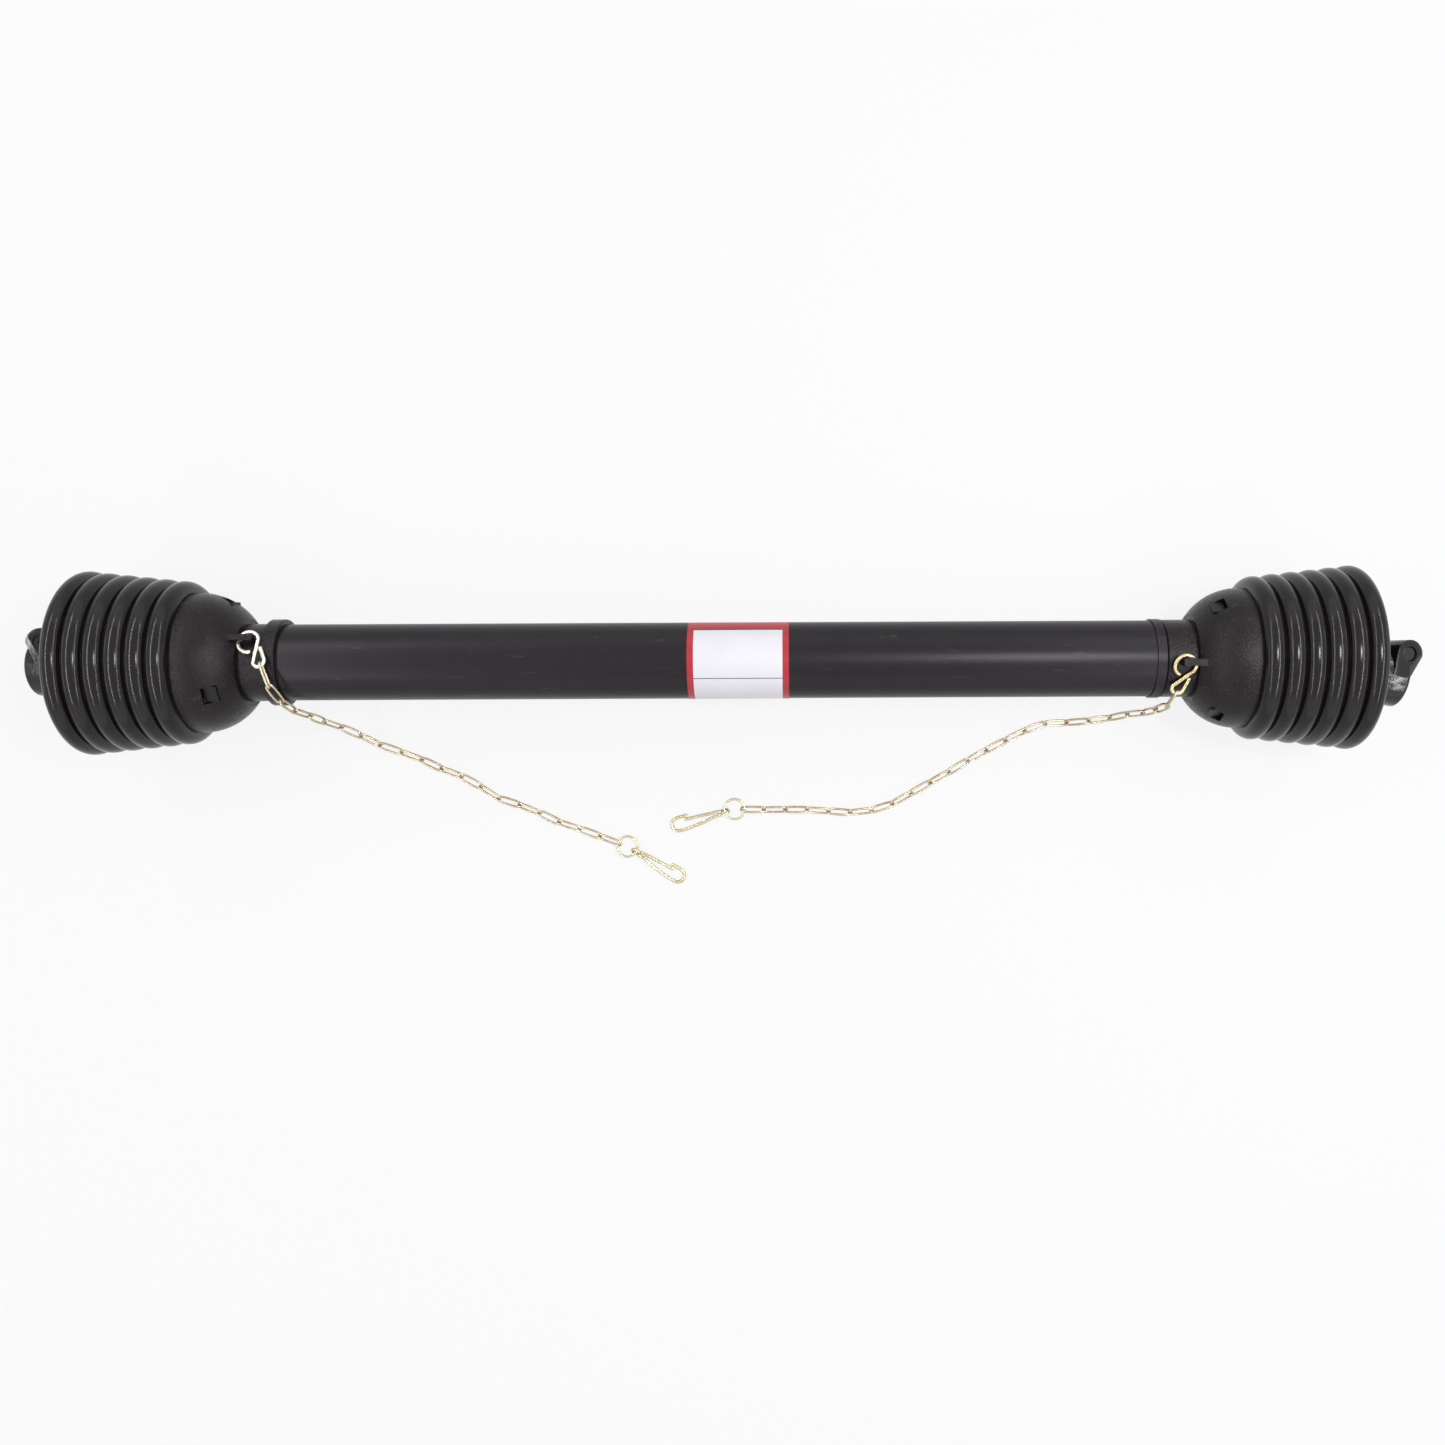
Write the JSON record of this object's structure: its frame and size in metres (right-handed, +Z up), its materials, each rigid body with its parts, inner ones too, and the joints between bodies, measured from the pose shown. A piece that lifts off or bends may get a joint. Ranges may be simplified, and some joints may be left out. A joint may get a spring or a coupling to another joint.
{
  "type": "pto drive shaft",
  "caption": "Telescopic drive shaft with universal joints, quick-release yokes, full plastic guard with ribbed bells, and safety chains.",
  "frame": {"origin": "on the ground, in the middle of the ground that the part with its laid-out chains covers", "axes": "+X along the shaft from the tractor's end to the machine's end, +Z up, chains lie to -Y"},
  "size_m": [1.2367, 0.2909, 0.1638],
  "materials": {
    "black_paint": "gloss black paint on forgings",
    "bright_steel": "ground steel",
    "tube_steel": "oiled drawn tube",
    "spring_steel": "dark spring steel",
    "cone_plastic": "black plastic, finely textured",
    "tube_plastic": "black plastic, smooth satin",
    "ring_plastic": "dark grey plastic",
    "bellows_rubber": "black rubber, semi-gloss",
    "seal_rubber": "black rubber",
    "chain_zinc": "yellow zinc plating",
    "hook_zinc": "pale yellow zinc plating",
    "label_red": "printed red film",
    "label_white": "printed white film",
    "brass_nipple": "plated"
  },
  "bodies": {
    "guard_outer": {"left_guard_cone": "cone_plastic", "left_bellows": "bellows_rubber", "left_bearing_ring": "ring_plastic", "outer_guard_tube": "tube_plastic", "label_frame": "label_red", "label_field": "label_white", "left_s_hook": "hook_zinc", "left_chain_upper": "chain_zinc"},
    "guard_inner": {"right_guard_cone": "cone_plastic", "right_bellows": "bellows_rubber", "right_bearing_ring": "ring_plastic", "inner_guard_tube": "tube_plastic", "right_s_hook": "hook_zinc", "right_chain_upper": "chain_zinc"},
    "outer_shaft": {"left_tube_yoke": "black_paint", "left_tube_yoke_caps": "bright_steel", "left_tube_yoke_circlips": "spring_steel", "left_spring_pin": "spring_steel", "outer_profile_tube": "tube_steel"},
    "left_cross": {"left_cross": "bright_steel", "left_grease_nipple": "brass_nipple", "left_journal_seals": "seal_rubber"},
    "left_yoke": {"left_quick_release_yoke": "black_paint", "left_end_yoke_caps": "bright_steel", "left_end_yoke_circlips": "spring_steel", "left_lock_spring": "spring_steel"},
    "left_pin": {"left_lock_pin": "bright_steel"},
    "left_chain": {"left_chain_lower": "chain_zinc", "left_chain_ring": "chain_zinc"},
    "left_hook": {"left_snap_hook": "hook_zinc"},
    "inner_shaft": {"right_tube_yoke": "black_paint", "right_tube_yoke_caps": "bright_steel", "right_tube_yoke_circlips": "spring_steel", "right_spring_pin": "spring_steel", "inner_profile_tube": "tube_steel"},
    "right_cross": {"right_cross": "bright_steel", "right_grease_nipple": "brass_nipple", "right_journal_seals": "seal_rubber"},
    "right_yoke": {"right_quick_release_yoke": "black_paint", "right_end_yoke_caps": "bright_steel", "right_end_yoke_circlips": "spring_steel", "right_lock_spring": "spring_steel"},
    "right_pin": {"right_lock_pin": "bright_steel"},
    "right_chain": {"right_chain_lower": "chain_zinc", "right_chain_ring": "chain_zinc"},
    "right_hook": {"right_snap_hook": "hook_zinc"}
  },
  "joints": [
    {"name": "shaft_turn", "type": "hinge", "parent": "guard_outer", "child": "outer_shaft", "pos_m": [-0.436, 0.0627, 0.0819], "axis": [1, 0, 0], "continuous": true},
    {"name": "shaft_extend", "type": "slide", "parent": "outer_shaft", "child": "inner_shaft", "axis": [1, 0, 0], "range_m": [0, 0.35]},
    {"name": "guard_extend", "type": "slide", "parent": "guard_outer", "child": "guard_inner", "axis": [1, 0, 0], "range_m": [0, 0.35]},
    {"name": "left_cross_swing", "type": "hinge", "parent": "outer_shaft", "child": "left_cross", "pos_m": [-0.507, 0.0627, 0.0819], "axis": [0, 0, 1], "range_deg": [-21, 17]},
    {"name": "left_yoke_swing", "type": "hinge", "parent": "left_cross", "child": "left_yoke", "pos_m": [-0.507, 0.0627, 0.0819], "axis": [0.0349, -0.9994, 0], "range_deg": [-19, 19]},
    {"name": "left_pin_push", "type": "slide", "parent": "left_yoke", "child": "left_pin", "axis": [0.2418, 0.0084, 0.9703], "range_m": [0, 0.0105], "stiffness_N_per_m": 800, "springref_m": -0.005, "deforming": ["left_lock_spring"]},
    {"name": "left_chain_swing", "type": "hinge", "parent": "guard_outer", "child": "left_chain", "pos_m": [-0.28825, -0.02676, 0.0037], "axis": [0, 0, 1], "range_deg": [-25, 2]},
    {"name": "left_hook_swing", "type": "hinge", "parent": "left_chain", "child": "left_hook", "pos_m": [-0.09284, -0.11067, 0.0038], "axis": [0, 0, 1], "range_deg": [-60, 5]},
    {"name": "right_cross_swing", "type": "hinge", "parent": "inner_shaft", "child": "right_cross", "pos_m": [0.507, 0.0627, 0.0819], "axis": [0, 0, 1], "range_deg": [-8, 30]},
    {"name": "right_yoke_swing", "type": "hinge", "parent": "right_cross", "child": "right_yoke", "pos_m": [0.507, 0.0627, 0.0819], "axis": [0.1908, 0.9816, 0], "range_deg": [-19, 19]},
    {"name": "right_pin_push", "type": "slide", "parent": "right_yoke", "child": "right_pin", "axis": [-0.2375, 0.0462, -0.9703], "range_m": [0, 0.0105], "stiffness_N_per_m": 800, "springref_m": -0.005, "deforming": ["right_lock_spring"]},
    {"name": "right_chain_swing", "type": "hinge", "parent": "guard_inner", "child": "right_chain", "pos_m": [0.32642, 0.00548, 0.0037], "axis": [0, 0, 1], "range_deg": [-20, 2]},
    {"name": "right_hook_swing", "type": "hinge", "parent": "right_chain", "child": "right_hook", "pos_m": [0.0094, -0.07553, 0.0038], "axis": [0, 0, 1], "range_deg": [-60, 5]}
  ],
  "couplings": [
    {"joint": "guard_extend", "follows": "shaft_extend", "ratio": 1}
  ]
}
